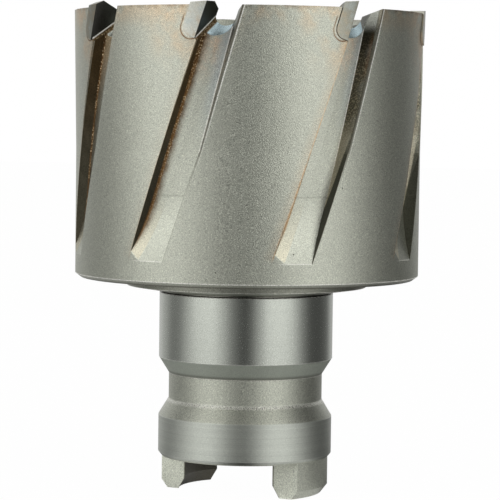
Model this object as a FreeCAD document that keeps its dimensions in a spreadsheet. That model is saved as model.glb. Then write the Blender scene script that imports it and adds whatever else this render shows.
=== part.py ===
import FreeCAD, Part
import math
import os
import re
import Sketcher

# Carbide-tipped hole cutter standing on the drive dogs of its shank, teeth up.
# Origin at the centre of the dogs' end plane, +Z along the axis towards the teeth,
# +X through the outer corner of the first tooth's cutting edge. Millimetres and degrees.

os.makedirs("parts", exist_ok=True)
doc = FreeCAD.newDocument("hole_cutter")
sheet = doc.addObject("Spreadsheet::Sheet", "sheet")

# Driving dimensions, each written once.
sizes = {
    # shank, from the dogs' end plane upwards
    "dog_height": 6.55,
    "dog_width": 12.0,
    "dog_radius": 15.42,
    "dog_angle": -21.2,
    "dog_chamfer": 1.15,
    "dog_chamfer_height": 1.5,
    "socket_radius": 10.95,
    "socket_depth": 18.0,
    "socket_chamfer": 1.2,
    "socket_chamfer_height": 2.2,
    "drill_point_angle": 59.0,
    "pilot_radius": 4.1,
    "shank_radius": 16.0,
    "ring_chamfer_height": 0.7,
    "ring_length": 6.74,
    "lower_taper_length": 3.07,
    "neck_radius": 14.15,
    "neck_length": 4.7,
    "upper_taper_length": 2.97,
    "grip_length": 11.87,
    "undercut_radius": 15.2,
    "undercut_step": 0.15,
    "undercut_length": 0.25,
    "boss_radius": 22.0,
    "boss_cone_height": 0.92,
    "boss_height": 1.5,
    # cup
    "body_length": 48.48,
    "body_chamfer": 1.0,
    "body_chamfer_height": 0.73,
    "rim_radius": 32.0,
    "body_relief": 0.45,
    "flare_length": 25.0,
    "wall_thickness": 4.6,
    "cutting_depth": 41.0,
    "core_fillet": 2.0,
    # teeth spacing, repeated on the other half turn
    "first_tooth_angle": 40.5,
    "second_tooth_angle": 43.7,
    "third_tooth_angle": 48.5,
    # flutes
    "helix_lead": 562.0,
    "flute_length": 44.2,
    "rake_step": 0.35,
    "flute_width_angle": 11.02,
    "flute_spread_angle": 0.13,
    "flute_depth": 2.5,
    "flute_root_width": 2.2,
    "flute_root_height": 0.7,
    "heel_depth": 2.35,
    "heel_draft_angle": 13.3,
    "heel_turn_length": 7.6,
    "runout_length": 11.4,
    "runout_width_angle": 14.1,
    "runout_end_depth": 0.05,
    # gullets through the wall
    "rake_angle": 13.5,
    "tooth_lean_angle": 18.2,
    "gullet_depth": 5.17,
    "gullet_slope_angle": 39.0,
    "gullet_radius": 2.05,
    "gullet_entry_angle": 12.7,
    "gullet_exit_angle": 22.0,
    "gullet_side_angle": 83.0,
    "heel_bevel_drop": 1.25,
    "heel_bevel_width": 4.4,
    # carbide tips
    "tip_thickness": 2.7,
    "tip_depth": 6.05,
    "tip_corner_radius": 1.7,
    "tip_bevel": 1.3,
    "tip_bevel_start": 0.2,
    "tip_stand_out": 0.2,
    "tip_stand_in": 0.15,
    "braze_gap": 0.08,
    "relief_angle": 4.0,
    "inner_grind_angle": 29.0,
    "peak_corner_height": 0.5,
    "peak_height": 1.05,
    "peak_offset": 1.2,
    "flat_height": 0.6,
    "flat_width": 2.8,
    "outer_height": 1.1,
    "outer_width": 0.4,
    # how far a cutting profile runs past the metal that it removes
    "overrun": 3.0,
}
for row, (name, value) in enumerate(sizes.items(), 1):
    sheet.set(f"A{row}", name)
    sheet.set(f"B{row}", str(value))
    sheet.setAlias(f"B{row}", name)
doc.recompute()


# Puts the sheet's name before every size that a formula uses.
def tied(formula):
    return re.sub(r"[a-z_]+", lambda word: f"sheet.{word[0]}" if word[0] in sizes else word[0], formula)


# Heights on the axis, each stretch of the shank standing on the one below.
ring_start = "dog_height + ring_chamfer_height"
ring_end = f"{ring_start} + ring_length"
neck_start = f"{ring_end} + lower_taper_length"
neck_end = f"{neck_start} + neck_length"
grip_start = f"{neck_end} + upper_taper_length"
grip_end = f"{grip_start} + grip_length"
boss_foot = f"{grip_end} + undercut_step + undercut_length"
boss_start = f"{boss_foot} + boss_cone_height"
body_start = f"{boss_start} + boss_height"
rim = f"{body_start} + body_length"
core_floor = f"{rim} - cutting_depth"
body_radius = "(rim_radius - body_relief)"
core_radius = "(rim_radius - wall_thickness)"
socket_floor = "socket_depth + (socket_radius - pilot_radius) / tan(drill_point_angle)"
lean = "tooth_lean_angle"


def turned_by(angle):
    return f"rotation(vector(0; 0; 1); {angle})"


def plane_of(body, role):
    return next(item for item in body.Origin.OriginFeatures if item.Role == role)


def new_sketch(body, name, role, offset=None):
    sketch = body.newObject("Sketcher::SketchObject", name)
    sketch.AttachmentSupport = [(plane_of(body, role), "")]
    sketch.MapMode = "FlatFace"
    if offset:
        sketch.setExpression("AttachmentOffset", tied(offset))
    return sketch


# Ties one point of a sketch to its two distances from the sketch's origin.
def place_point(sketch, line, end, name, place):
    for axis, kind, origin_axis, formula in (("x", "DistanceX", -2, place[0]),
                                             ("y", "DistanceY", -1, place[1])):
        if formula == "0":
            sketch.addConstraint(Sketcher.Constraint("PointOnObject", line, end, origin_axis))
            continue
        value = float(sketch.evalExpression(tied(formula)))
        number = sketch.addConstraint(Sketcher.Constraint(kind, -1, 1, line, end, value))
        sketch.renameConstraint(number, f"{name}_{axis}")
        sketch.setExpression(f"Constraints.{name}_{axis}", tied(formula))


# Draws a closed outline through named corners. A corner with a radius and a centre starts an
# anticlockwise arc, and any other starts a straight edge.
def draw_outline(sketch, name, corners):
    spots = [FreeCAD.Vector(*(float(sketch.evalExpression(tied(part))) for part in corner[:2]), 0)
             for corner in corners]
    first = sketch.GeometryCount
    for number, corner in enumerate(corners):
        start = spots[number]
        end = spots[(number + 1) % len(corners)]
        if len(corner) == 2:
            sketch.addGeometry(Part.LineSegment(start, end))
            continue
        radius, centre_x, centre_y = (float(sketch.evalExpression(tied(part))) for part in corner[2:])
        centre = FreeCAD.Vector(centre_x, centre_y, 0)
        circle = Part.Circle(centre, FreeCAD.Vector(0, 0, 1), radius)
        turn = [math.atan2(spot.y - centre.y, spot.x - centre.x) for spot in (start, end)]
        if turn[1] < turn[0]:
            turn[1] += 2 * math.pi
        sketch.addGeometry(Part.ArcOfCircle(circle, *turn))
    for number, corner in enumerate(corners):
        line = first + number
        following = first + (number + 1) % len(corners)
        sketch.addConstraint(Sketcher.Constraint("Coincident", line, 2, following, 1))
        place_point(sketch, line, 1, f"{name}_{number}", corner)
        if len(corner) > 2:
            radius = float(sketch.evalExpression(tied(corner[2])))
            arc = sketch.addConstraint(Sketcher.Constraint("Radius", line, radius))
            sketch.renameConstraint(arc, f"{name}_{number}_radius")
            sketch.setExpression(f"Constraints.{name}_{number}_radius", tied(corner[2]))


def turned(body, kind, name, sketch):
    feature = body.newObject(kind, name)
    feature.Profile = sketch
    feature.ReferenceAxis = (sketch, ["V_Axis"])
    feature.Angle = 360
    doc.recompute()
    return feature


# The section that is turned about the axis: shank, boss, cup, and the bores inside them.
def shank_and_cup_section(body):
    sketch = new_sketch(body, "turned_section", "XZ_Plane")
    draw_outline(sketch, "edge", [
        ("pilot_radius", core_floor),
        ("pilot_radius", socket_floor),
        ("socket_radius", "socket_depth"),
        ("socket_radius", "socket_chamfer_height"),
        ("socket_radius + socket_chamfer", "0"),
        ("dog_radius - dog_chamfer", "0"),
        ("dog_radius", "dog_chamfer_height"),
        ("dog_radius", "dog_height"),
        ("shank_radius", ring_start),
        ("shank_radius", ring_end),
        ("neck_radius", neck_start),
        ("neck_radius", neck_end),
        ("shank_radius", grip_start),
        ("shank_radius", grip_end),
        ("undercut_radius", f"{grip_end} + undercut_step"),
        ("undercut_radius", boss_foot),
        ("shank_radius", boss_foot),
        ("boss_radius", boss_start),
        ("boss_radius", body_start),
        (f"{body_radius} - body_chamfer", body_start),
        (body_radius, f"{body_start} + body_chamfer_height"),
        (body_radius, f"{rim} - flare_length"),
        ("rim_radius", rim),
        (core_radius, rim),
        (core_radius, f"{core_floor} + core_fillet"),
        (f"{core_radius} - core_fillet", core_floor),
    ])
    return sketch


# Cuts away both sides of the ring's end, which leaves the two drive dogs.
def cut_dogs(body):
    turn = turned_by("dog_angle")
    sketch = new_sketch(body, "dog_sides", "XY_Plane", f"placement(vector(0; 0; 0); {turn})")
    right = "shank_radius + overrun"
    left = f"-({right})"
    for name, side in (("near", ""), ("far", "-")):
        flat = f"{side}dog_width / 2"
        beyond = f"{side}({right})"
        draw_outline(sketch, name, [(left, flat), (right, flat), (right, beyond), (left, beyond)])
    cut = body.newObject("PartDesign::Pocket", "dog_sides_cut")
    cut.Profile = sketch
    cut.Reversed = True
    cut.setExpression("Length", tied("dog_height"))
    doc.recompute()
    return cut


# How many level stretches each part of a flute is lofted through.
helix_steps = 5
turn_steps = 3
runout_steps = 4


# Where a flute's heel wall stands at a radius, as an angle from the outer corner of the rake wall.
def heel_angle(depth, radius):
    draft = f"(rim_radius - ({radius})) * tan(heel_draft_angle) / rim_radius * 180 / pi"
    return f"(flute_width_angle + flute_spread_angle * ({depth}) - {draft})"


def polar(radius, angle):
    return f"({radius}) * cos({angle})", f"({radius}) * sin({angle})"


# One level section of a flute, at a depth below the rim. Its own x axis runs through the outer
# corner of the rake wall, which the helix turns back by the same angle for each millimetre.
def flute_section(body, name, depth, floor, heel_side):
    turn = turned_by(f"-360 * ({depth}) / helix_lead")
    sketch = new_sketch(body, name, "XY_Plane", f"placement(vector(0; 0; {rim} - ({depth})); {turn})")

    def rake_wall(radius):
        return radius, f"(rim_radius - ({radius})) * tan(rake_angle) + rake_step"

    draw_outline(sketch, "edge", [
        rake_wall("rim_radius + overrun"),
        *(polar(radius, angle) for radius, angle in heel_side),
        (floor, f"{rake_wall(floor)[1]} + flute_root_width"),
        rake_wall(f"{floor} + flute_root_height"),
    ])
    return sketch


def lofted_cut(body, name, sections):
    cut = body.newObject("PartDesign::SubtractiveLoft", name)
    cut.Profile = sections[0]
    cut.Sections = sections[1:]
    cut.Ruled = False
    doc.recompute()
    return cut


# A helical flute in three lofts: full depth from the rim down, then a stretch where its heel wall
# folds upright from the land to the foot, then the floor rising on an arc to the surface.
def cut_flute(body):
    outside = "rim_radius + overrun"
    floor = f"({body_radius} - flute_depth)"
    foot = f"({body_radius} - heel_depth)"
    runout_start = "(flute_length - runout_length)"
    turn_start = f"({runout_start} - heel_turn_length)"
    helix = []
    for part in range(helix_steps + 1):
        depth = f"({turn_start} + overrun) * {part} / {helix_steps} - overrun"
        heel_side = [(radius, heel_angle(depth, radius)) for radius in (outside, foot)]
        helix.append((depth, floor, heel_side))
    fold = []
    for part in range(turn_steps + 1):
        depth = f"{turn_start} + heel_turn_length * {part} / {turn_steps}"
        crease = f"({body_radius} - (heel_depth - runout_end_depth) * {part} / {turn_steps})"
        fold.append((depth, floor, [(outside, "runout_width_angle"), (crease, "runout_width_angle"),
                                    (foot, heel_angle(depth, foot))]))
    rise = []
    for part in range(runout_steps + 1):
        share = f"({part} / {runout_steps}) ^ 2"
        depth = f"{runout_start} + runout_length * {part} / {runout_steps}"
        level = f"({body_radius} - flute_depth + (flute_depth - runout_end_depth) * {share})"
        heel_foot = f"({body_radius} - heel_depth + (heel_depth - runout_end_depth) * {share})"
        rise.append((depth, level, [(outside, "runout_width_angle"), (heel_foot, "runout_width_angle")]))
    cuts = []
    for name, stations in (("flute", helix), ("flute_fold", fold), ("flute_runout", rise)):
        sections = [flute_section(body, f"{name}_section_{number}", *station)
                    for number, station in enumerate(stations, 1)]
        cuts.append(lofted_cut(body, name, sections))
    return cuts


# The plane across a tooth's rake face: its normal points outwards along the cutting edge, its
# second axis climbs the rake face, and it stands a given way outside the edge's outer corner.
def rake_plane(out):
    spot = f"vector(-({out}) * sin(rake_angle); {rim}; rim_radius + ({out}) * cos(rake_angle))"
    turn = f"rotation(vector(0; 1; 0); -rake_angle) * {turned_by(f'-{lean}')}"
    return f"placement({spot}; {turn})"


# The gullet in front of a tooth, ground through the wall and sloping down outwards.
def cut_gullet(body):
    sketch = new_sketch(body, "gullet_outline", "YZ_Plane", rake_plane("0"))
    start = f"-gullet_depth / cos({lean})"
    centre = ("gullet_radius * cos(gullet_entry_angle)",
              f"{start} + gullet_radius * sin(gullet_entry_angle)")
    exit_x = f"{centre[0]} + gullet_radius * cos(gullet_exit_angle)"
    exit_y = f"{centre[1]} - gullet_radius * sin(gullet_exit_angle)"
    top = "gullet_depth + overrun * 3"
    draw_outline(sketch, "edge", [
        ("0", top),
        ("0", start, "gullet_radius", *centre),
        (exit_x, exit_y),
        (f"{exit_x} + ({top} - ({exit_y})) / tan(gullet_side_angle)", top),
    ])
    cut = body.newObject("PartDesign::Pocket", "gullet")
    cut.Profile = sketch
    cut.SideType = "Symmetric"
    cut.UseCustomVector = True
    doc.recompute()
    climb = sketch.Placement.Rotation.multVec(FreeCAD.Vector(0, 1, 0))
    inward = sketch.Placement.Rotation.multVec(FreeCAD.Vector(0, 0, -1))
    slope = math.radians(sheet.gullet_slope_angle)
    cut.Direction = inward * math.cos(slope) + climb * math.sin(slope)
    cut.setExpression("Length", tied(f"2 * (wall_thickness + overrun) / cos(gullet_slope_angle)"))
    doc.recompute()
    return cut


# The outline of a carbide tip on its rake plane, grown by a gap where it beds in its seat.
def draw_tip(sketch, gap, bevelled):
    back = f"-(tip_thickness + {gap})"
    bottom = f"-(tip_depth + {gap})"
    radius = f"(tip_corner_radius + {gap})"
    centre = ("-tip_thickness + tip_corner_radius", "-tip_depth + tip_corner_radius")
    if bevelled:
        top = "outer_height + overrun / 3"
        top_corners = [("0", top), (f"{back} + tip_bevel", top), (back, "-tip_bevel_start")]
    else:
        top = "overrun"
        top_corners = [("0", top), (back, top)]
    draw_outline(sketch, "edge", [
        ("0", bottom),
        *top_corners,
        (back, centre[1], radius, *centre),
        (centre[0], bottom),
    ])


def cut_tip_seat(body):
    sketch = new_sketch(body, "tip_seat_outline", "YZ_Plane", rake_plane("overrun"))
    draw_tip(sketch, "braze_gap", False)
    cut = body.newObject("PartDesign::Pocket", "tip_seat")
    cut.Profile = sketch
    cut.setExpression("Length", tied(f"wall_thickness + 2 * overrun"))
    doc.recompute()
    return cut


# The inner corner of each heel, bevelled away from the gullet.
def cut_heel_bevel(body):
    heel = "flute_width_angle"
    run = "heel_bevel_width"
    out = f"vector(cos({heel}); sin({heel}); 0)"
    spot = f"rim_radius * {out} + vector(0; 0; {rim})"
    turn = f"{turned_by(f'{heel} + 45')} * rotation(vector(1; 0; 0); 90)"
    sketch = new_sketch(body, "heel_bevel_outline", "XY_Plane", f"placement({spot}; {turn})")
    depth = f"heel_bevel_drop / (wall_thickness * cos(45))"
    draw_outline(sketch, "edge", [
        ("0", "0"),
        ("0", "overrun"),
        (f"-{run}", "overrun"),
        (f"-{run}", f"-{run} * {depth}"),
    ])
    cut = body.newObject("PartDesign::Pocket", "heel_bevel")
    cut.Profile = sketch
    cut.setExpression("Length", tied(f"wall_thickness / cos(45) + overrun"))
    doc.recompute()
    return cut


# Shank and cup are turned and milled from one bar.
def make_cutter_body():
    body = doc.addObject("PartDesign::Body", "cutter_body")
    body.Label = "cutter_body"
    turned(body, "PartDesign::Revolution", "turned_blank", shank_and_cup_section(body))
    cut_dogs(body)
    tooth = [*cut_flute(body), cut_gullet(body), cut_heel_bevel(body), cut_tip_seat(body)]
    ring = body.newObject("PartDesign::PolarPattern", "tooth_ring")
    ring.Originals = tooth
    ring.Axis = (plane_of(body, "Z_Axis"), [""])
    ring.Mode = "Spacing"
    angles = [sheet.evalExpression(tied(angle)) for angle in tooth_angles]
    ring.Occurrences = len(angles)
    ring.Spacings = [float(after) - float(before) for before, after in zip(angles, angles[1:])]
    body.Tip = ring
    doc.recompute()
    return body


# The three grinds that the tips share the cut between, as corners of the cutting edge counted
# inwards from the tip's outer corner and upwards from the rim.
grinds = {
    "peak": [("0", "peak_corner_height"), ("peak_offset", "peak_height")],
    "flat": [("0", "flat_height"), ("flat_width", "flat_height")],
    "outer": [("0", "outer_height"), ("outer_width", "outer_height")],
}
grind_order = ["flat", "peak", "flat", "outer"]


# Grinds the top of a tip: everything above the cutting edge, falling away behind it.
def grind_top(body, grind):
    (_, corner_height), (offset, height) = grinds[grind]
    sketch = new_sketch(body, "grind_outline", "XZ_Plane",
                        f"placement(vector(0; 0; -overrun); {turned_by(0)})")
    outer = "(rim_radius + tip_stand_out)"
    lift = f"{rim} + overrun * tan(relief_angle)"
    inner_fall = f"({outer} - {offset} - {core_radius} + overrun) * tan(inner_grind_angle)"
    top = f"{rim} + overrun * 2"
    corners = [
        (f"{outer} + overrun", top),
        (f"{outer} + overrun", f"{lift} + {corner_height}"),
        (outer, f"{lift} + {corner_height}"),
        (f"{outer} - {offset}", f"{lift} + {height}"),
        (f"{core_radius} - overrun", f"{lift} + {height} - {inner_fall}"),
        (f"{core_radius} - overrun", top),
    ]
    draw_outline(sketch, "edge", corners)
    cut = body.newObject("PartDesign::Pocket", "top_grind")
    cut.Profile = sketch
    cut.Reversed = True
    cut.UseCustomVector = True
    relief = math.radians(sheet.relief_angle)
    cut.Direction = FreeCAD.Vector(0, math.cos(relief), math.sin(relief))
    cut.setExpression("Length", tied("2 * overrun + tip_thickness + tip_depth"))
    doc.recompute()
    return cut


# A carbide tip: a block across the wall, ground round outside and inside, then ground on top.
def make_tip(number, angle, grind):
    name = f"carbide_tip_{number}"
    body = doc.addObject("PartDesign::Body", name)
    body.Label = name
    sketch = new_sketch(body, "tip_outline", "YZ_Plane", rake_plane("overrun"))
    draw_tip(sketch, "0", True)
    block = body.newObject("PartDesign::Pad", "tip_block")
    block.Profile = sketch
    block.Reversed = True
    block.setExpression("Length", tied(f"wall_thickness + 2 * overrun"))
    doc.recompute()
    rings = new_sketch(body, "round_grinds", "XZ_Plane")
    low = f"{rim} - tip_depth - overrun"
    high = f"{rim} + overrun"
    for side, near, far in (("outside", "rim_radius + tip_stand_out", "rim_radius + 3 * overrun"),
                            ("inside", f"{core_radius} - 3 * overrun", f"{core_radius} - tip_stand_in")):
        draw_outline(rings, side, [(near, low), (far, low), (far, high), (near, high)])
    turned(body, "PartDesign::Groove", "round_grind", rings)
    grind_top(body, grind)
    body.setExpression("Placement", tied(f"placement(vector(0; 0; 0); {turned_by(angle)})"))
    doc.recompute()
    return body


# The teeth are unevenly spaced over half a turn, and the other half repeats them.
pitches = ["first_tooth_angle", "second_tooth_angle", "third_tooth_angle"]
half_turn = [" + ".join(["0", *pitches[:count]]) for count in range(len(pitches) + 1)]
tooth_angles = half_turn + [f"{angle} + 180" for angle in half_turn]

pieces = [make_cutter_body()]
for number, angle in enumerate(tooth_angles, 1):
    pieces.append(make_tip(number, angle, grind_order[(number - 1) % len(grind_order)]))

for item in doc.Objects:
    if "Invalid" in item.State or "Error" in item.State:
        raise RuntimeError(f"{item.Name} failed: {item.State}")
for piece in pieces:
    if piece.Shape.isNull() or not piece.Shape.isValid() or len(piece.Shape.Solids) != 1:
        raise RuntimeError(f"{piece.Label} isn't one valid solid")
for piece in pieces:
    piece.Shape.exportStep(f"parts/{piece.Label}.step")
    print(piece.Label, round(piece.Shape.Volume, 1))
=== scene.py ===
import math

import bmesh
import bpy
from mathutils import Matrix, Vector

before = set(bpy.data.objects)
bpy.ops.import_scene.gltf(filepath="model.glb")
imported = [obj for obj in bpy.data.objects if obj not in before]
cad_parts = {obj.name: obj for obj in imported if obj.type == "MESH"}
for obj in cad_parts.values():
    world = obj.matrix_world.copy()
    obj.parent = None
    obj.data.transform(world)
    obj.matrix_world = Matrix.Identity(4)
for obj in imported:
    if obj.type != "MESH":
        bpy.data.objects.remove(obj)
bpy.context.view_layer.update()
print("frame loaded")


# a matrix at a spot, looking along a direction
def lookFrom(spot, along):
    return Matrix.Translation(spot) @ along.to_track_quat("-Z", "Y").to_matrix().to_4x4()


def addObject(name, data):
    thing = bpy.data.objects.new(name, data)
    bpy.context.collection.objects.link(thing)
    return thing


# camera: metres and degrees, azimuth measured from -Y towards +X; lens and sensor in millimetres
cameraPlace = {
    "aim": (0.000572, 0.000075, 0.0444),
    "azimuth": 7.5,
    "downTilt": 3.261,
    "roll": 0.714,
    "distance": 0.42236,
    "lens": 164.84,
    "sensor": 36.0,
    "nearClip": 0.01,
}


def makeCamera():
    data = bpy.data.cameras.new("camera")
    data.lens = cameraPlace["lens"]
    data.sensor_width = cameraPlace["sensor"]
    data.clip_start = cameraPlace["nearClip"]
    camera = addObject("camera", data)
    turn = math.radians(cameraPlace["azimuth"])
    tilt = math.radians(cameraPlace["downTilt"])
    out = Vector((math.sin(turn) * math.cos(tilt), -math.cos(turn) * math.cos(tilt), math.sin(tilt)))
    spot = Vector(cameraPlace["aim"]) + out * cameraPlace["distance"]
    roll = Matrix.Rotation(math.radians(cameraPlace["roll"]), 4, "Z")
    camera.matrix_world = lookFrom(spot, -out) @ roll
    bpy.context.scene.camera = camera


makeCamera()
print("camera placed")


# adds a node with its settings
def addNode(tree, kind, **settings):
    node = tree.nodes.new(kind)
    for name, value in settings.items():
        setattr(node, name, value)
    return node


# links a socket to another, or sets its value
def feed(tree, socket, value):
    if isinstance(value, bpy.types.NodeSocket):
        tree.links.new(value, socket)
    elif value is not None:
        socket.default_value = value


def calc(tree, operation, *values, clamp=False):
    node = addNode(tree, "ShaderNodeMath", operation=operation, use_clamp=clamp)
    for socket, value in zip(node.inputs, values):
        feed(tree, socket, value)
    return node.outputs[0]


def vectorCalc(tree, operation, *values):
    node = addNode(tree, "ShaderNodeVectorMath", operation=operation)
    for socket, value in zip(node.inputs, values):
        feed(tree, socket, value)
    return node.outputs


def product(tree, *values):
    total = values[0]
    for value in values[1:]:
        total = calc(tree, "MULTIPLY", total, value)
    return total


def largest(tree, first, *rest):
    return calc(tree, "MAXIMUM", first, largest(tree, *rest)) if rest else first


# first * firstShare + second * secondShare
def weighed(tree, first, firstShare, second, secondShare):
    return calc(tree, "MULTIPLY_ADD", first, firstShare, calc(tree, "MULTIPLY", second, secondShare))


def length(tree, across, along):
    return calc(tree, "SQRT", weighed(tree, across, across, along, along))


# how far a value is from a level
def gap(tree, value, level):
    return calc(tree, "ABSOLUTE", calc(tree, "SUBTRACT", value, level))


# the first value where the factor is 0, the second where it is 1
def mixed(tree, factor, first, second):
    return calc(tree, "MULTIPLY_ADD", factor, calc(tree, "SUBTRACT", second, first), first)


# the same for two plain numbers
def mixedNumbers(tree, factor, first, second):
    return calc(tree, "MULTIPLY_ADD", factor, second - first, first)


# a soft step from 0 to 1
def fade(tree, value, zeroAt, oneAt):
    node = addNode(tree, "ShaderNodeMapRange", interpolation_type="SMOOTHSTEP")
    feed(tree, node.inputs["Value"], value)
    feed(tree, node.inputs["From Min"], zeroAt)
    feed(tree, node.inputs["From Max"], oneAt)
    return node.outputs[0]


# 1 from low to high, with soft ends
def band(tree, value, low, high, soft):
    return calc(tree, "MULTIPLY", fade(tree, value, low - soft, low + soft),
                fade(tree, value, high + soft, high - soft))


def separate(tree, vector):
    node = addNode(tree, "ShaderNodeSeparateXYZ")
    feed(tree, node.inputs[0], vector)
    return node.outputs


# a position's parts after a turn round the cutter's axis
def turned(tree, position, angle):
    node = addNode(tree, "ShaderNodeVectorRotate", rotation_type="Z_AXIS")
    feed(tree, node.inputs["Vector"], position)
    feed(tree, node.inputs["Angle"], angle)
    return separate(tree, node.outputs[0])


def noise(tree, place, scale, detail=2.0, rough=0.5):
    node = addNode(tree, "ShaderNodeTexNoise")
    feed(tree, node.inputs["Vector"], place)
    node.inputs["Scale"].default_value = scale
    node.inputs["Detail"].default_value = detail
    node.inputs["Roughness"].default_value = rough
    return node.outputs["Fac"]


def cellDistance(tree, place, scale):
    node = addNode(tree, "ShaderNodeTexVoronoi", feature="F1")
    feed(tree, node.inputs["Vector"], place)
    node.inputs["Scale"].default_value = scale
    return node.outputs["Distance"]


# a ramp through stops given as (position, level)
def greyRamp(tree, value, stops, interpolation="LINEAR"):
    node = addNode(tree, "ShaderNodeValToRGB")
    node.color_ramp.interpolation = interpolation
    marks = node.color_ramp.elements
    while len(marks) < len(stops):
        marks.new(0.5)
    for mark, (position, level) in zip(marks, stops):
        mark.position = position
        mark.color = (level, level, level, 1)
    feed(tree, node.inputs["Fac"], value)
    return node.outputs["Color"]


def blendColour(tree, factor, first, second, kind="MIX"):
    node = addNode(tree, "ShaderNodeMix", data_type="RGBA", blend_type=kind)
    feed(tree, node.inputs[0], factor)
    feed(tree, node.inputs[6], first)
    feed(tree, node.inputs[7], second)
    return node.outputs[2]


# a colour made lighter or darker by a number
def shadeColour(tree, colour, shade):
    grey = addNode(tree, "ShaderNodeCombineColor")
    for socket in grey.inputs:
        feed(tree, socket, shade)
    return blendColour(tree, 1.0, colour, grey.outputs[0], "MULTIPLY")


# a node group with named sockets: vectors for these labels, numbers for the others
vectorLabels = ("Position", "Direction")


def newGroup(name, inputs, outputs):
    group = bpy.data.node_groups.new(name, "ShaderNodeTree")
    for labels, side in ((inputs, "INPUT"), (outputs, "OUTPUT")):
        for label in labels:
            kind = "NodeSocketVector" if label in vectorLabels else "NodeSocketFloat"
            group.interface.new_socket(label, in_out=side, socket_type=kind)
    return group, addNode(group, "NodeGroupInput").outputs, addNode(group, "NodeGroupOutput").inputs


def placeGroup(tree, group, **values):
    node = addNode(tree, "ShaderNodeGroup", node_tree=group)
    for name, value in values.items():
        feed(tree, node.inputs[name], value)
    return node.outputs


def emptyTree(owner):
    owner.use_nodes = True
    owner.node_tree.nodes.clear()
    return owner.node_tree


# one part of a mask. The tables below write a mask as a list of parts that are multiplied:
# "name" is a measure or a mask as it is, and a number is itself;
# ("name", zeroAt, oneAt) fades from 0 to 1, and ("name", low, high, soft) is a band with soft ends;
# ["name", "name"] is the largest of them, and ("not", "name", ...) is 1 less the largest;
# ("less", "name", "other") is the one less the other
def maskPart(tree, at, part):
    if isinstance(part, str):
        return at[part]
    if isinstance(part, list):
        return largest(tree, *[at[name] for name in part])
    if not isinstance(part, tuple):
        return part
    name, *span = part
    if name == "not":
        return calc(tree, "SUBTRACT", 1, maskPart(tree, at, span))
    if name == "less":
        return calc(tree, "SUBTRACT", at[span[0]], at[span[1]])
    return (fade if len(span) == 2 else band)(tree, at[name], *span)


def makeMask(tree, at, parts):
    return product(tree, *[maskPart(tree, at, part) for part in parts])


def addMasks(tree, at, table):
    for name, parts in table.items():
        at[name] = makeMask(tree, at, parts)


# colours laid over one another, each with the mask it shows through
def paint(tree, at, colours, base, layers):
    colour = colours[base]
    for name, parts in layers:
        colour = blendColour(tree, makeMask(tree, at, parts), colour, colours[name])
    return colour


# studio: one ring of light and dark round the cutter, on the world and dimly on the floor. Each stop
# is degrees to the right of the camera and the brightness there
studio = {
    "ring": [
        (-180, 0.82), (-150, 0.82), (-130, 0.6), (-112, 0.27), (-97, 0.28), (-80, 0.66), (-62, 0.8),
        (-45, 0.88), (-30, 0.76), (-16, 0.24), (-3, 0.05), (6, 0.1), (16, 0.54), (28, 0.86), (47, 0.91),
        (66, 0.76), (80, 0.29), (92, 0.09), (112, 0.1), (130, 0.18), (150, 0.68), (180, 0.82),
    ],
    "fill": 0.4,
    "white": (1, 1, 1, 1),
    "floorPaint": (0.9, 0.9, 0.9, 1),
    "floorSize": 3.0,
    "floorGlow": 0.987,
    "floorInMetal": 0.8,
}


def makeRingGroup():
    group, given, made = newGroup("studioRing", ["Direction"], ["Level"])
    mapped = addNode(group, "ShaderNodeMapping", vector_type="POINT")
    mapped.inputs["Rotation"].default_value = (0, 0, math.radians(90 - cameraPlace["azimuth"]))
    feed(group, mapped.inputs["Vector"], given["Direction"])
    ring = addNode(group, "ShaderNodeTexGradient", gradient_type="RADIAL")
    feed(group, ring.inputs["Vector"], mapped.outputs[0])
    brightest = max(level for angle, level in studio["ring"])
    stops = [((angle + 180) / 360, level / brightest) for angle, level in studio["ring"]]
    level = greyRamp(group, ring.outputs["Fac"], stops, "EASE")
    feed(group, made["Level"], calc(group, "MULTIPLY", level, brightest))
    return group


# the camera sees white, diffuse light is even, and the rest sees the ring
def makeWorld():
    world = bpy.data.worlds.new("studio")
    bpy.context.scene.world = world
    tree = emptyTree(world)
    place = addNode(tree, "ShaderNodeTexCoord")
    level = placeGroup(tree, ringGroup, Direction=place.outputs["Generated"])["Level"]
    path = addNode(tree, "ShaderNodeLightPath").outputs
    soft = mixed(tree, path["Is Diffuse Ray"], level, studio["fill"])
    back = addNode(tree, "ShaderNodeBackground")
    back.inputs["Color"].default_value = studio["white"]
    feed(tree, back.inputs["Strength"], largest(tree, path["Is Camera Ray"], soft))
    out = addNode(tree, "ShaderNodeOutputWorld")
    feed(tree, out.inputs["Surface"], back.outputs[0])


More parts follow.
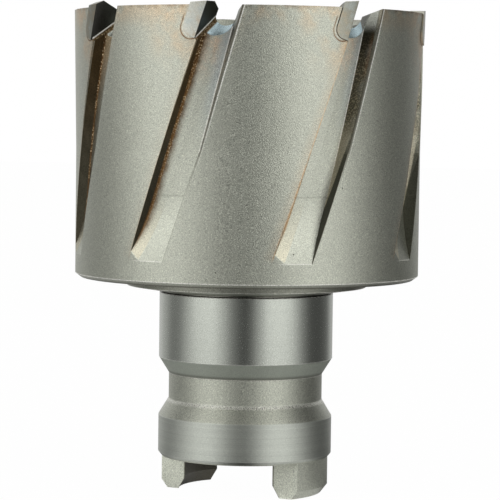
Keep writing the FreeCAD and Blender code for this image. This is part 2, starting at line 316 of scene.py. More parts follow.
# the camera sees a white floor, metal sees the ring's light on it
def makeFloor():
    mesh = bpy.data.meshes.new("floor")
    shape = bmesh.new()
    bmesh.ops.create_grid(shape, x_segments=1, y_segments=1, size=studio["floorSize"])
    shape.to_mesh(mesh)
    shape.free()
    floor = addObject("floor", mesh)
    paper = bpy.data.materials.new("paleFloor")
    tree = emptyTree(paper)
    plain = addNode(tree, "ShaderNodeBsdfDiffuse")
    plain.inputs["Color"].default_value = studio["floorPaint"]
    place = addNode(tree, "ShaderNodeTexCoord")
    level = placeGroup(tree, ringGroup, Direction=place.outputs["Object"])["Level"]
    dim = calc(tree, "MULTIPLY", level, studio["floorInMetal"])
    path = addNode(tree, "ShaderNodeLightPath").outputs
    glow = addNode(tree, "ShaderNodeEmission")
    feed(tree, glow.inputs["Strength"], mixed(tree, path["Is Camera Ray"], dim, 1))
    seen = largest(tree, path["Is Camera Ray"], path["Is Glossy Ray"], path["Is Transmission Ray"])
    mix = addNode(tree, "ShaderNodeMixShader")
    feed(tree, mix.inputs[0], calc(tree, "MULTIPLY", seen, studio["floorGlow"]))
    feed(tree, mix.inputs[1], plain.outputs[0])
    feed(tree, mix.inputs[2], glow.outputs[0])
    out = addNode(tree, "ShaderNodeOutputMaterial")
    feed(tree, out.inputs["Surface"], mix.outputs[0])
    mesh.materials.append(paper)


ringGroup = makeRingGroup()
makeWorld()
makeFloor()
print("studio built")

# lamps: degrees to the right of the camera, metres and watts
lamps = {
    "left": {"azimuth": -56, "height": 0.3, "distance": 0.9, "wide": 0.7, "tall": 1.0, "power": 2.4},
    "right": {"azimuth": 44, "height": 0.3, "distance": 0.9, "wide": 0.7, "tall": 1.0, "power": 2.4},
}


def makeLamps():
    for name, lamp in lamps.items():
        data = bpy.data.lights.new(name, "AREA")
        data.shape = "RECTANGLE"
        data.size = lamp["wide"]
        data.size_y = lamp["tall"]
        data.energy = lamp["power"]
        turn = math.radians(lamp["azimuth"] + cameraPlace["azimuth"])
        away = lamp["distance"]
        spot = Vector((math.sin(turn) * away, -math.cos(turn) * away, lamp["height"]))
        addObject(name, data).matrix_world = lookFrom(spot, Vector(cameraPlace["aim"]) - spot)


makeLamps()
print("lamps placed")


# where things are on the cutter, in millimetres and degrees
cutter = {
    "rimHeight": 87.9,
    "rimRadius": 32.0,
    "helixLead": 562.0,
    "rakeAngle": 13.5,
    "toothLean": 18.2,
    "toothReach": 20.0,  # how far before a tooth its own zone starts
    "toothAngles": (0, 40.5, 84.2, 132.7, 180, 220.5, 264.2, 312.7),
    "tipThickness": 2.7,
    "tipDepth": 6.05,
    "tipAbove": 4.0,  # how far its outline goes on above the rim
    "tipCorner": 1.4,
    "rakeStep": 0.35,
    "fluteWidth": 11.02,
    "fluteSpread": 0.13,  # more width for each millimetre down
    "fluteEndWidth": 14.1,
    "fluteLength": 44.2,
    "runoutLength": 11.4,
    "wallFoot": 29.75,
    "wallHeight": 1.75,
    "heelDraft": 13.3,
    "gulletSlope": 39.0,
    "gulletStart": 5.442,
    "gulletRadius": 2.05,
    "gulletEntry": 12.7,
    "gulletExit": 22.0,
    "gulletFlare": 0.123,  # slope of its far side
}


# position in millimetres, the distance from the axis, the height, the depth below the rim, and the
# angle of the tooth whose flute is nearest
def makePlaceGroup():
    group, given, made = newGroup("placeOnCutter", [], ["Position", "Radius", "Height", "Depth", "Tooth"])
    coordinates = addNode(group, "ShaderNodeTexCoord")
    position = vectorCalc(group, "SCALE", coordinates.outputs["Object"], None, None, 1000)[0]
    apart = separate(group, position)
    depth = calc(group, "SUBTRACT", cutter["rimHeight"], apart["Z"])
    feed(group, made["Position"], position)
    feed(group, made["Radius"], length(group, apart["X"], apart["Y"]))
    feed(group, made["Height"], apart["Z"])
    feed(group, made["Depth"], depth)
    turn = calc(group, "ARCTAN2", apart["Y"], apart["X"])
    turn = weighed(group, depth, 360 / cutter["helixLead"], turn, 180 / math.pi)
    turn = calc(group, "WRAP", turn, 360 - cutter["toothReach"], -cutter["toothReach"])
    angles = cutter["toothAngles"]
    tooth = 0.0
    for before, angle in zip(angles, angles[1:]):
        passed = calc(group, "GREATER_THAN", turn, angle - cutter["toothReach"])
        tooth = calc(group, "MULTIPLY_ADD", passed, angle - before, tooth)
    feed(group, made["Tooth"], tooth)
    return group


# a level for each tooth, in the order of toothAngles. The photo shows the last three and, at its
# right edge, the first
def perTooth(tree, place, levels):
    stops = [(angle / 360, level) for angle, level in zip(cutter["toothAngles"], levels)]
    return greyRamp(tree, calc(tree, "DIVIDE", place["Tooth"], 360), stops)


# one tooth and its flute, in millimetres. Its masks are written as maskPart says, on the measures of
# measureTooth, and those with a capital are handed to the materials
toothLook = {
    "brazeOffset": 0.5,
    # the crust at the rake wall's foot: its height low down and near the tip, the depths between
    # them, and its share on each tooth
    "crustLow": 0.3,
    "crustHigh": 0.8,
    "crustDepths": (16, 5),
    "crustShare": (0.5, 0.6, 0.8, 0.7, 0.6, 0.15, 1.0, 0.6),
    "masks": {
        "nearTooth": [("back", -9, -8), ("depth", 13, 12)],
        "Tint": [("outside", 9.0, 0.3), ("radius", 30.5, 31.2)],
        # a brown line round the tip's seat, and a strip right at the seam, where the mask is negative
        "brazeLine": [("offBraze", 0.198, 0.02)],
        "brazeStrip": [("outside", 0.22, 0.12)],
        "Braze": [("less", "brazeLine", "brazeStrip"), ("radius", 31.3, 31.5), ("across", 0.3, 0.1),
                  ("depth", 1.2, 2.2), "nearTooth"],
        "Rake": [("offRake", 0.06, 0.03), "nearTooth"],
        # the gullet's bottom, its end under the tip, and its far side
        "gullet": [("offCircle", 0.12, 0.07), "nearTooth", ("radius", 27.2, 27.35)],
        "Scoop": ["gullet", ("above", 0.0, -0.2), ("across", 0.5, 0.8)],
        "Pocket": ["gullet", ("across", 0.8, 0.5)],
        # the ledge under the tip, which is painted bright as a highlight
        "Ledge": ["Pocket", ("above", -0.78, -0.66)],
        "Side": [("pastSide", 0.02, 0.17, 0.04), ("above", -0.818, -0.718), "nearTooth",
                 ("radius", 27.2, 27.35)],
        # the flute, its rake wall with the crust at the foot, its floor and its run-out
        "flute": [("fromRake", -0.12, -0.04), ("fromHeel", -0.12, -0.04), ("radius", 28.6, 28.8),
                  ("depth", 44.3, 44.2), ("back", -14, -12), ("radius", 31.56, 31.46),
                  ("not", "gullet", "Side")],
        "Wall": ["flute", ("fromRake", 0.12, 0.05)],
        "Foot": ["flute", ("fromRake", 0.45, 0.15), ("overCrust", 0.2, -0.1)],
        "Near": ["flute", ("fromRake", 1.5, 0.05)],
        "Root": ["flute", ("fromRake", 0.05, 2.2, 0.06)],
        "Floor": ["flute", ("fromRake", 0.0, 0.3)],
        "Runout": ["flute", "runout"],
        "Blue": ["flute", ("fromHeel", 2.4, 0.5), ("depth", 26, 10)],
        # the heel wall, with its bevel near the rim, and a painted highlight line at its foot
        "heelWall": ["flute", ("fromHeel", 0.1, 0.05)],
        "heelBevel": [("fromHeel", -1.3, -0.06, 0.05), ("radius", 28.7, 31.4, 0.05),
                      ("depth", 0.4, 44.2, 0.1), ("back", -14, -12), ("not", "gullet", "Side")],
        "Heel": [["heelWall", "heelBevel"]],
        "HeelFoot": ["flute", ("fromHeel", 0.07, 0.28, 0.04), ("radius", 30.2, 29.9), ("depth", 34, 14)],
        # lines on the land beside the flute: heat along the rake wall, edges partly worn and partly
        # painted highlight, and painted shade lines along the heel edge
        "lipGlow": [("fromRake", -2.4, 0.1), 0.28],
        "lipLine": [("fromRake", -0.32, -0.1)],
        "Lip": [["lipGlow", "lipLine"], ("fromRake", 0.14, 0.04), ("radius", 31.3, 31.45),
                ("depth", 5.5, 43.5, 0.6), ("back", -14, -12)],
        "heelEdge": [("fromHeel", -0.6, -0.38, 0.05), ("depth", 32, 12)],
        "endEdge": [("depth", 44.12, 44.26, 0.04), ("fromHeel", 0, 0.2), ("fromRake", 1.2, 1.6), 0.6],
        "Edge": [("radius", 31.3, 31.42), ("back", -14, -12), ["heelEdge", "endEdge"]],
        # painted shade lines along the heel edge
        "upperSeam": [("fromHeel", -0.34, -0.02, 0.04), ("depth", 34, 22)],
        "lowerSeam": [("fromHeel", -0.1, 0.06, 0.04), ("depth", 22, 43.8, 2), 0.5],
        "Seam": [("radius", 31.3, 31.42), ("back", -14, -12), ["upperSeam", "lowerSeam"]],
    },
}
toothMasks = [name for name in toothLook["masks"] if name[0].isupper()]


# how far outside a strip of this half width
def beyond(tree, value, shift, half):
    return calc(tree, "MAXIMUM", calc(tree, "SUBTRACT", calc(
        tree, "ABSOLUTE", calc(tree, "ADD", value, shift)), half), 0)


# measures on one tooth and its flute, in millimetres
def measureTooth(group, given):
    depth, radius = given["Depth"], given["Radius"]
    apart = turned(group, given["Position"], calc(group, "MULTIPLY", given["Tooth"], -math.pi / 180))
    rake = math.radians(cutter["rakeAngle"])
    lean = math.radians(cutter["toothLean"])

    # the tooth's own frame: across from the rake face, up along it, out from its outer corner
    back = calc(group, "SUBTRACT", apart["X"], cutter["rimRadius"])
    side = apart["Y"]
    level = weighed(group, side, math.cos(rake), back, math.sin(rake))
    across = weighed(group, level, math.cos(lean), depth, math.sin(lean))
    up = weighed(group, level, math.sin(lean), depth, -math.cos(lean))
    out = weighed(group, side, -math.sin(rake), back, math.cos(rake))

    # how far outside the tip's rounded outline
    half = cutter["tipThickness"] / 2
    tall = (cutter["tipDepth"] + cutter["tipAbove"]) / 2
    sideways = beyond(group, across, half, half - cutter["tipCorner"])
    downwards = beyond(group, up, tall - cutter["tipAbove"], tall - cutter["tipCorner"])
    outside = calc(group, "SUBTRACT", length(group, sideways, downwards), cutter["tipCorner"])

    # how far from the flute's rake wall and heel wall, round the axis
    turn = calc(group, "MULTIPLY_ADD", depth, 2 * math.pi / cutter["helixLead"],
                calc(group, "ARCTAN2", side, apart["X"]))
    arc = calc(group, "MULTIPLY", turn, radius)
    inwards = calc(group, "SUBTRACT", cutter["rimRadius"], radius)
    rakeArc = calc(group, "MULTIPLY_ADD", inwards, math.tan(rake), cutter["rakeStep"])
    width = calc(group, "MULTIPLY_ADD", depth, math.radians(cutter["fluteSpread"]),
                 math.radians(cutter["fluteWidth"]))
    draft = math.tan(math.radians(cutter["heelDraft"])) / cutter["rimRadius"]
    width = calc(group, "SUBTRACT", width, calc(group, "MULTIPLY", inwards, draft))
    width = calc(group, "MINIMUM", width, math.radians(cutter["fluteEndWidth"]))
    fromHeel = calc(group, "SUBTRACT", calc(group, "MULTIPLY", width, radius), arc)

    # how far along the run-out, from 0 to 1, how far above the wall's foot, and the crust there
    runout = calc(group, "MULTIPLY_ADD", depth, 1 / cutter["runoutLength"],
                  1 - cutter["fluteLength"] / cutter["runoutLength"], clamp=True)
    overFoot = calc(group, "SUBTRACT", calc(group, "SUBTRACT", radius, cutter["wallFoot"]),
                    product(group, runout, runout, cutter["wallHeight"]))
    crust = mixedNumbers(group, fade(group, depth, *toothLook["crustDepths"]),
                         -toothLook["crustLow"], -toothLook["crustHigh"])
    share = perTooth(group, given, toothLook["crustShare"])

    # the gullet's round bottom and its far side
    entry = math.radians(cutter["gulletEntry"])
    leave = math.radians(cutter["gulletExit"])
    rise = calc(group, "MULTIPLY_ADD", out, math.tan(math.radians(cutter["gulletSlope"])), up)
    beside = calc(group, "SUBTRACT", across, cutter["gulletRadius"] * math.cos(entry))
    above = calc(group, "SUBTRACT", rise, cutter["gulletRadius"] * math.sin(entry) - cutter["gulletStart"])
    toSide = calc(group, "SUBTRACT", beside, cutter["gulletRadius"] * math.cos(leave))
    return {
        "depth": depth,
        "radius": radius,
        "back": back,
        "across": across,
        "offRake": calc(group, "ABSOLUTE", across),
        "outside": outside,
        "offBraze": gap(group, outside, toothLook["brazeOffset"]),
        "fromRake": calc(group, "SUBTRACT", arc, rakeArc),
        "fromHeel": fromHeel,
        "runout": runout,
        "overCrust": calc(group, "MULTIPLY_ADD", crust, share, overFoot),
        "above": above,
        "offCircle": gap(group, length(group, beside, above), cutter["gulletRadius"]),
        "pastSide": calc(group, "MULTIPLY_ADD", above, -cutter["gulletFlare"], toSide),
    }


def makeToothGroup():
    group, given, made = newGroup("toothMasks", ["Position", "Radius", "Depth", "Tooth"], toothMasks)
    at = measureTooth(group, given)
    addMasks(group, at, toothLook["masks"])
    for mask in toothMasks:
        feed(group, made[mask], at[mask])
    return group


# fine grain of blasted metal with a few bright specks, and fine lines left by turning. A noise is
# its scale, detail and roughness
surfaceLook = {
    "fineGrain": (7.5, 0, 0.5),
    "wideGrain": (3.0, 1, 0.5),
    "glints": (6.5, 0, 0.5),
    "glintsFrom": (0.68, 0.8),
    "glintShade": 0.4,
    "closeLines": (4.5, 3, 0.7),
    "wideLines": (0.9, 2, 0.5),
    "wideLinesShare": 0.6,
}


# a noise that swings round 0
def swing(tree, place, name):
    return calc(tree, "SUBTRACT", noise(tree, place, *surfaceLook[name]), 0.5)


def makeGrainGroup():
    group, given, made = newGroup("blastedGrain", ["Position", "Coarse"], ["Shade", "Height"])
    fine = swing(group, given["Position"], "fineGrain")
    wide = swing(group, given["Position"], "wideGrain")
    both = calc(group, "MULTIPLY_ADD", wide, given["Coarse"], fine)
    glints = noise(group, given["Position"], *surfaceLook["glints"])
    glints = fade(group, glints, *surfaceLook["glintsFrom"])
    feed(group, made["Height"], both)
    feed(group, made["Shade"], calc(group, "MULTIPLY_ADD", glints, surfaceLook["glintShade"], both))
    return group


def makeTurningGroup():
    group, given, made = newGroup("turningLines", ["Height"], ["Lines"])
    line = addNode(group, "ShaderNodeCombineXYZ")
    feed(group, line.inputs["Z"], given["Height"])
    close = swing(group, line.outputs[0], "closeLines")
    wide = swing(group, line.outputs[0], "wideLines")
    feed(group, made["Lines"], calc(group, "MULTIPLY_ADD", wide, surfaceLook["wideLinesShare"], close))
    return group


# the turned body: bright lines on sharp edges, partly wear and partly painted highlight, as height, radius
# and half width in millimetres and how bright, painted shade under edges, in grooves, under the body and
# in the socket, with a darker band on the lower taper, as low and high height, largest radius, softness
# and how dark, and the painted shade of the cone in the socket
turnedLook = {
    "edges": [
        (40.15, 31.55, 0.14, 1.0), (37.92, 22.0, 0.12, 0.8), (36.6, 15.95, 0.1, 0.8),
        (24.73, 16.0, 0.1, 0.5), (21.76, 14.15, 0.14, 0.4), (16.85, 14.3, 0.5, 0.45),
        (13.99, 16.0, 0.08, 0.1), (7.25, 16.0, 0.08, 0.3),
    ],
    "edgeCore": 0.3,
    "edgeReach": (0.4, 0.2),
    "paintedShadeZones": [
        (39.32, 39.6, 30.9, 0.06, 0.7), (36.5, 37.15, 16.6, 0.06, 0.75), (37.0, 40.1, 30.9, 0.1, 0.34),
        (21.7, 22.3, 15.5, 0.25, 0.4), (14.1, 16.9, 16.1, 0.2, 0.1), (-1.0, 25.0, 11.05, 0.1, 0.92),
    ],
    "zoneFade": 0.2,
    "mouth": {"radius": 12.15, "slope": 0.545, "level": 0.92},
    "mouthAt": [("offCone", 0.1, 0.04), ("height", 2.3, 2.2)],
}


def makeTurnedGroup():
    group, given, made = newGroup("turnedBody", ["Height", "Radius"], ["Edge", "Dark"])
    edges = []
    for height, radius, half, level in turnedLook["edges"]:
        near = fade(group, gap(group, given["Height"], height), half, half * turnedLook["edgeCore"])
        beside = fade(group, gap(group, given["Radius"], radius), *turnedLook["edgeReach"])
        edges.append(product(group, near, level, beside))
    feed(group, made["Edge"], largest(group, *edges))
    # painted shade in the socket's mouth and in the zones under edges, in grooves and under the body
    mouth = turnedLook["mouth"]
    cone = calc(group, "MULTIPLY_ADD", given["Height"], mouth["slope"], given["Radius"])
    at = {"height": given["Height"], "offCone": gap(group, cone, mouth["radius"])}
    zones = [makeMask(group, at, turnedLook["mouthAt"] + [mouth["level"]])]
    for low, high, radius, soft, level in turnedLook["paintedShadeZones"]:
        inner = fade(group, given["Radius"], radius + turnedLook["zoneFade"], radius)
        zones.append(product(group, band(group, given["Height"], low, high, soft), inner, level))
    feed(group, made["Dark"], largest(group, *zones))
    return group


spotGroup = makePlaceGroup()
toothGroup = makeToothGroup()
grainGroup = makeGrainGroup()
turningGroup = makeTurningGroup()
turnedGroup = makeTurnedGroup()
print("node groups made")


# a new metal with its shader, its place on the cutter, and all that its masks are written on
def startMetal(name, look):
    material = bpy.data.materials.new(name)
    material.use_nodes = True
    tree = material.node_tree
    place = placeGroup(tree, spotGroup)
    masks = placeGroup(tree, toothGroup, Position=place["Position"], Radius=place["Radius"],
                       Depth=place["Depth"], Tooth=place["Tooth"])
    at = {"height": place["Height"], "radius": place["Radius"], "depth": place["Depth"]}
    for mask in toothMasks:
        at[mask] = masks[mask]
    for label, settings in look["noises"].items():
        at[label] = noise(tree, place["Position"], *settings)
    for label, scale in look["cells"].items():
        at[label] = cellDistance(tree, place["Position"], scale)
    for label, levels in look["teeth"].items():
        at[label] = perTooth(tree, place, levels)
    return material, tree.nodes["Principled BSDF"], place, at


# one bar of steel: blasted cup, neck and dogs, ground shank cylinders, coloured by brazing heat, with
# painted shade in hollows and painted highlights on edges
steel = {
    "colours": {
        "blasted": (0.5, 0.515, 0.44, 1),
        "ground": (0.555, 0.58, 0.522, 1),
        "taper": (0.47, 0.5, 0.44, 1),
        "dogSide": (0.66, 0.68, 0.58, 1),
        "dark": (0.06, 0.052, 0.034, 1),
        # painted shade for hollows, grooves, the body's underside and the socket
        "tan": (0.66, 0.47, 0.28, 1),
        "rust": (0.2, 0.11, 0.05, 1),
        "orange": (0.62, 0.36, 0.15, 1),
        "powder": (0.45, 0.34, 0.19, 1),
        "wallBrown": (0.12, 0.08, 0.038, 1),
        "wallGrey": (0.11, 0.1, 0.07, 1),
        "footBrown": (0.18, 0.108, 0.05, 1),
        "crystal": (0.92, 0.74, 0.48, 1),
        "floorPink": (0.66, 0.52, 0.38, 1),
        "floorBlue": (0.44, 0.49, 0.49, 1),
        "runoutPaintedLight": (0.62, 0.58, 0.44, 1),
        "scoopBlue": (0.52, 0.66, 0.7, 1),
        "sideShadeGrey": (0.2, 0.205, 0.18, 1),
        "heelTop": (0.42, 0.43, 0.38, 1),
        "heelBlack": (0.05, 0.045, 0.03, 1),
        "heelBrown": (0.15, 0.14, 0.1, 1),
        "heelSpeck": (0.7, 0.62, 0.44, 1),
        "heelShadedSide": (0.11, 0.11, 0.085, 1),
        "heelLitSide": (0.58, 0.54, 0.42, 1),
        # painted shade for lines along edges and creases
        "seam": (0.16, 0.155, 0.12, 1),
        # pale colour for worn edges and for painted highlights on edges
        "paleWearAndHighlight": (0.95, 0.94, 0.87, 1),
        "pit": (0.12, 0.12, 0.1, 1),
    },
    # noises as scale, detail and roughness, cell patterns as scale
    "noises": {"cloud": (0.16, 4, 0.6), "patch": (0.7, 4, 0.65), "fleck": (3.4, 2, 0.7)},
    "cells": {"crumb": 2.9, "spot": 0.15},
    # levels for each tooth
    "teeth": {
        "wear": (0.8, 0.5, 0.9, 0.6, 0.9, 0.1, 1.0, 1.0),
        "sootLevel": (0.7, 0.6, 0.8, 0.7, 0.9, 0.8, 1.0, 0.06),
        "lipLevel": (0.5, 0.7, 0.4, 0.6, 0.5, 0.25, 0.3, 0.75),
        "scoopLevel": (0.9, 0.8, 1.0, 0.9, 1.0, 0.1, 1.0, 1.0),
        "powderLevel": (0.2, 0.3, 0.1, 0.4, 0.1, 0.75, 0.0, 0.0),
    },
    "dogAngle": -21.2,
    "dogHalfWidth": 6.0,
    "foldSlope": 7,  # the heel's fold runs down by this for each millimetre inwards
    # masks with more than one use or part
    "masks": {
        "ringZone": [("height", 6.8, 14.1, 0.05)],
        "shankZone": [("height", 24.6, 37.1, 0.05)],
        "ground": [["ringZone", "shankZone"], ("radius", 17.5, 17.0)],
        "ring": ["ground", ("height", 18, 16)],
        "taper": [("height", 21.9, 24.7, 0.15)],
        "neckFoot": [("height", 14.1, 17.0, 0.1)],
        "powder": ["Root", ("depth", 20, 4), "powderLevel"],
        "crumbs": [("crumb", 0.48, 0.22), ("fleck", 0.32, 0.44)],
        "footCrust": ["Foot", ("depth", 46, 20)],
        "pocketCrust": ["Pocket", 0.35],
        "crystals": ["crumbs", ["footCrust", "pocketCrust"]],
        # edges on the flutes, the ledge under the tip and the turned body: partly worn, partly painted
        # highlight
        "fluteEdges": ["wear", ["Edge", "HeelFoot"]],
        "turnedEdges": ["TurnedEdge", ("fleck", 0.25, 0.55)],
        "bright": [["fluteEdges", "Ledge", "turnedEdges"], 0.85],
        "pits": [("spot", 0.022, 0.01), ("not", "ground")],
        "powderDull": ["powder", 0.7],
        "dogsDull": [("height", 6.75, 6.65), 0.3],
        "dull": [["bright", "powderDull", "dogsDull"]],
        "smoothTaper": ["taper", 0.8],
        "smoothScoop": ["Scoop", 0.8],
        "smooth": [["ground", "smoothTaper", "smoothScoop"]],
        "softRoot": ["Root", ("not", "Runout"), 0.85],
    },
    # colours in the order they are laid, each with its mask: the rake wall, the heel, then all
    # the rake wall is dark, partly heat tint and partly painted shade
    "wallLayers": [("wallBrown", [("depth", 30, 8)])],
    "heelLayers": [
        ("heelBrown", [("depth", 5, 13)]),
        ("heelTop", [("depth", 4.4, 2.6)]),
        ("rust", [("radius", 30.5, 31.2), ("depth", 5, 11, 2), 0.7]),
        ("heelSpeck", [("fleck", 0.5, 0.62), ("depth", 7, 28, 4), 0.5]),
        # painted light on one side of the heel's fold and painted shade on the other
        ("heelLitSide", [("fold", 241, 238.5), ("depth", 18, 24), 0.85]),
        ("heelShadedSide", [("fold", 239, 241), ("depth", 20, 27)]),
    ],
    "layers": [
        ("ground", ["ground"]),
        ("taper", ["taper"]),
        ("dogSide", [("offDogSide", 0.08, 0.04), ("height", 6.6, 6.5)]),
        # painted shade under edges, in grooves, under the body and in the socket, and a darker band on the
        # lower taper
        ("dark", ["Dark"]),
        # heat near the tips, along the flutes' lips and at the rim
        ("tan", ["Tint", ("cloud", 0.35, 0.7), 0.6]),
        ("orange", ["Lip", ("patch", 0.15, 0.6), "lipLevel", 0.75]),
        ("tan", [("depth", 5, 0), ("cloud", 0.42, 0.62), ("radius", 30.5, 31.2), 0.4]),
        ("rust", [("depth", 0.9, 0.0), ("patch", 0.35, 0.7), ("radius", 27, 29), 0.6]),
        # flute floor, root and walls
        ("floorPink", ["Floor", ("depth", 15, 6), ("patch", 0.3, 0.7), 0.8]),
        ("floorBlue", ["Blue", 0.7]),
        # the root strip in the run-out, painted lighter to make up for its shading
        ("runoutPaintedLight", ["Root", "Runout", 0.8]),
        # painted shade in the corner at the rake wall's foot, stronger on some teeth
        ("footBrown", ["Near", ("depth", 43, 36), ("patch", 0.9, 0.3), "sootLevel"]),
        ("powder", ["powder"]),
        # the rake wall and the pocket under the tip: dark, partly heat tint and partly painted shade
        ("wall", [["Wall", "Pocket"]]),
        ("footBrown", ["Foot", 0.7]),
        ("orange", ["Foot", "Foot", ("depth", 43, 36), ("depth", 4, 14), 0.4]),
        ("crystal", ["crystals"]),
        ("heel", ["Heel"]),
        ("scoopBlue", ["Scoop", "scoopLevel"]),
        # the gullet's far side wall, painted dark grey as shade
        ("sideShadeGrey", ["Side"]),
        # the tip's braze line and bright strip, and a painted shade line across the floor where the
        # run-out starts
        ("rust", ["Braze", ("patch", 0.15, 0.6)]),
        ("paleWearAndHighlight", ["Braze", -0.3]),
        ("seam", ["Floor", ("depth", 32.65, 32.9, 0.15), 0.3]),
        # painted shade lines along the heel edge, edges partly worn and partly painted highlight, and pits
        ("seam", ["Seam", "wear", 0.8]),
        ("paleWearAndHighlight", ["bright"]),
        ("pit", ["pits"]),
    ],
    "dullMetallic": 0.2,
    "coarseGrain": 0.04,
    "grainShade": 1.2,
    "smoothGrainShade": 0.4,
    "lineShade": 0.08,
    "ringLineShade": 0.48,
    "roughness": 0.43,
    # masks and what each adds to the roughness
    "rougher": [
        (["ground"], -0.18), (["ring"], 0.15), (["taper"], 0.23), (["neckFoot"], -0.1),
        ([["Scoop", "bright"]], -0.12), ([["Wall", "Heel"]], 0.12),
    ],
    "grainRoughness": 0.2,
    "groundGrainRoughness": 0.05,
    "grainDepth": 0.000032,
    "lineDepth": 0.2,
    "plainLineDepth": 0.4,  # away from the ring, as a share of lineDepth
    "pitDepth": -4.0,
    "crystalHeight": 3.0,
    "outward": (0.033, 0.033, 0),  # turns a position on the root strip into a normal
}


# how far from the flat sides of the dogs
def offDogSide(tree, position):
    across = turned(tree, position, math.radians(-steel["dogAngle"]))["Y"]
    return gap(tree, calc(tree, "ABSOLUTE", across), steel["dogHalfWidth"])


def shadeSteel(tree, at, grain, lines):
    share = mixedNumbers(tree, at["smooth"], steel["grainShade"], steel["smoothGrainShade"])
    shade = calc(tree, "MULTIPLY_ADD", grain["Shade"], share, 1.0)
    clear = mixedNumbers(tree, at["ring"], steel["lineShade"], steel["ringLineShade"])
    clear = calc(tree, "MULTIPLY", clear, at["ground"])
    return calc(tree, "MULTIPLY", shade, calc(tree, "MULTIPLY_ADD", lines, clear, 1.0))


def roughenSteel(tree, at, grain):
    rough = steel["roughness"]
    for parts, change in steel["rougher"]:
        rough = calc(tree, "MULTIPLY_ADD", makeMask(tree, at, parts), change, rough)
    share = mixedNumbers(tree, at["ground"], steel["grainRoughness"], steel["groundGrainRoughness"])
    return calc(tree, "MULTIPLY_ADD", grain["Shade"], share, rough)


# bumps on a normal that is softened at the flutes' root
def bumpSteel(tree, place, at, grain, lines):
    share = mixedNumbers(tree, at["ring"], steel["plainLineDepth"], 1)
    grooves = product(tree, lines, steel["lineDepth"], share)
    height = blendColour(tree, at["ground"], grain["Height"], grooves)
    height = calc(tree, "MULTIPLY_ADD", at["pits"], steel["pitDepth"], height)
    height = calc(tree, "MULTIPLY_ADD", at["crystals"], steel["crystalHeight"], height)
    soft = addNode(tree, "ShaderNodeMix", data_type="VECTOR")
    feed(tree, soft.inputs[0], at["softRoot"])
    feed(tree, soft.inputs[4], addNode(tree, "ShaderNodeTexCoord").outputs["Normal"])
    feed(tree, soft.inputs[5], vectorCalc(tree, "MULTIPLY", place["Position"], steel["outward"])[0])
    bump = addNode(tree, "ShaderNodeBump")
    bump.inputs["Strength"].default_value = 1
    bump.inputs["Distance"].default_value = steel["grainDepth"]
    feed(tree, bump.inputs["Normal"], vectorCalc(tree, "NORMALIZE", soft.outputs[1])[0])
    feed(tree, bump.inputs["Height"], height)
    return bump.outputs[0]


def makeSteel():
    material, shader, place, at = startMetal("blastedSteel", steel)
    tree = material.node_tree
    grain = placeGroup(tree, grainGroup, Position=place["Position"], Coarse=steel["coarseGrain"])
    lines = placeGroup(tree, turningGroup, Height=place["Height"])["Lines"]
    body = placeGroup(tree, turnedGroup, Height=place["Height"], Radius=place["Radius"])
    at["TurnedEdge"], at["Dark"] = body["Edge"], body["Dark"]
    at["offDogSide"] = offDogSide(tree, place["Position"])
    at["fold"] = calc(tree, "MULTIPLY_ADD", place["Radius"], steel["foldSlope"], place["Depth"])
    addMasks(tree, at, steel["masks"])
    colours = dict(steel["colours"])
    colours["wall"] = paint(tree, at, colours, "wallGrey", steel["wallLayers"])
    colours["heel"] = paint(tree, at, colours, "heelBlack", steel["heelLayers"])
    colour = paint(tree, at, colours, "blasted", steel["layers"])
    feed(tree, shader.inputs["Base Color"], shadeColour(tree, colour, shadeSteel(tree, at, grain, lines)))
    feed(tree, shader.inputs["Metallic"], mixedNumbers(tree, at["dull"], 1, steel["dullMetallic"]))
    feed(tree, shader.inputs["Roughness"], roughenSteel(tree, at, grain))
    feed(tree, shader.inputs["Normal"], bumpSteel(tree, place, at, grain, lines))
    return material


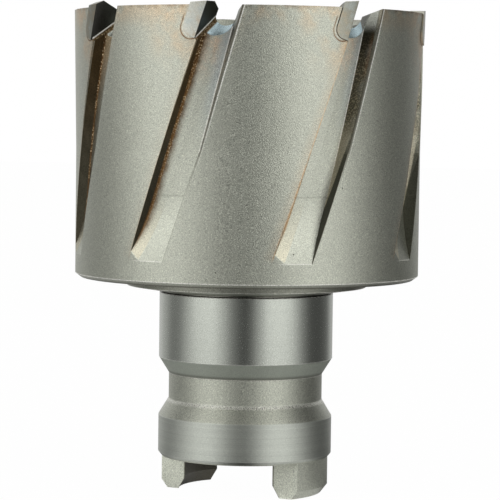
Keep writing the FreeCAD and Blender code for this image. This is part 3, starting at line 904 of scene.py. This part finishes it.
# carbide tips: ground grey, dark on the rake face, clouded by the braze
carbide = {
    "colours": {
        "outer": (0.5, 0.505, 0.45, 1),
        "dull": (0.3, 0.29, 0.23, 1),
        "rake": (0.1, 0.1, 0.09, 1),
        "brazed": (0.44, 0.34, 0.22, 1),
        "bluish": (0.4, 0.45, 0.44, 1),
        "side": (0.5, 0.43, 0.32, 1),
    },
    "noises": {"cloud": (0.5, 3, 0.6)},
    "cells": {},
    "teeth": {"dullness": (0.6, 0.3, 0.8, 0.5, 0.2, 1.0, 0.0, 0.85)},
    "masks": {
        "sides": [("outwards", 22, 14), ("not", "Rake"), ("radius", 31.2, 31.4)],
    },
    "layers": [
        ("dull", ["dullness"]),
        ("rake", ["Rake"]),
        ("brazed", [("cloud", 0.5, 0.68), 0.5, ("not", "Rake")]),
        ("bluish", [("cloud", 0.5, 0.32), 0.5, ("not", "Rake")]),
        ("side", ["sides"]),
    ],
    "sideMetallic": 0.1,
    "coarseGrain": 0.12,
    "grainShade": 0.6,
    "roughness": 0.36,
    "grainRoughness": 0.2,
    "grainDepth": 0.00001,
}


def makeCarbide():
    material, shader, place, at = startMetal("groundCarbide", carbide)
    tree = material.node_tree
    grain = placeGroup(tree, grainGroup, Position=place["Position"], Coarse=carbide["coarseGrain"])
    surface = addNode(tree, "ShaderNodeTexCoord").outputs["Normal"]
    at["outwards"] = vectorCalc(tree, "DOT_PRODUCT", surface, place["Position"])["Value"]
    addMasks(tree, at, carbide["masks"])
    colour = paint(tree, at, carbide["colours"], "outer", carbide["layers"])
    shade = calc(tree, "MULTIPLY_ADD", grain["Shade"], carbide["grainShade"], 1.0)
    rough = calc(tree, "MULTIPLY_ADD", grain["Shade"], carbide["grainRoughness"], carbide["roughness"])
    bump = addNode(tree, "ShaderNodeBump")
    bump.inputs["Distance"].default_value = carbide["grainDepth"]
    feed(tree, bump.inputs["Height"], grain["Height"])
    feed(tree, shader.inputs["Base Color"], shadeColour(tree, colour, shade))
    feed(tree, shader.inputs["Metallic"], mixedNumbers(tree, at["sides"], 1, carbide["sideMetallic"]))
    feed(tree, shader.inputs["Roughness"], rough)
    feed(tree, shader.inputs["Normal"], bump.outputs[0])
    return material


def dress(node, material):
    for place in node.material_slots:
        place.material = material


steelMaterial = makeSteel()
carbideMaterial = makeCarbide()
for name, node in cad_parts.items():
    dress(node, steelMaterial if name == "cutter_body" else carbideMaterial)
print("materials given")

view = bpy.context.scene.view_settings
view.view_transform = "Standard"
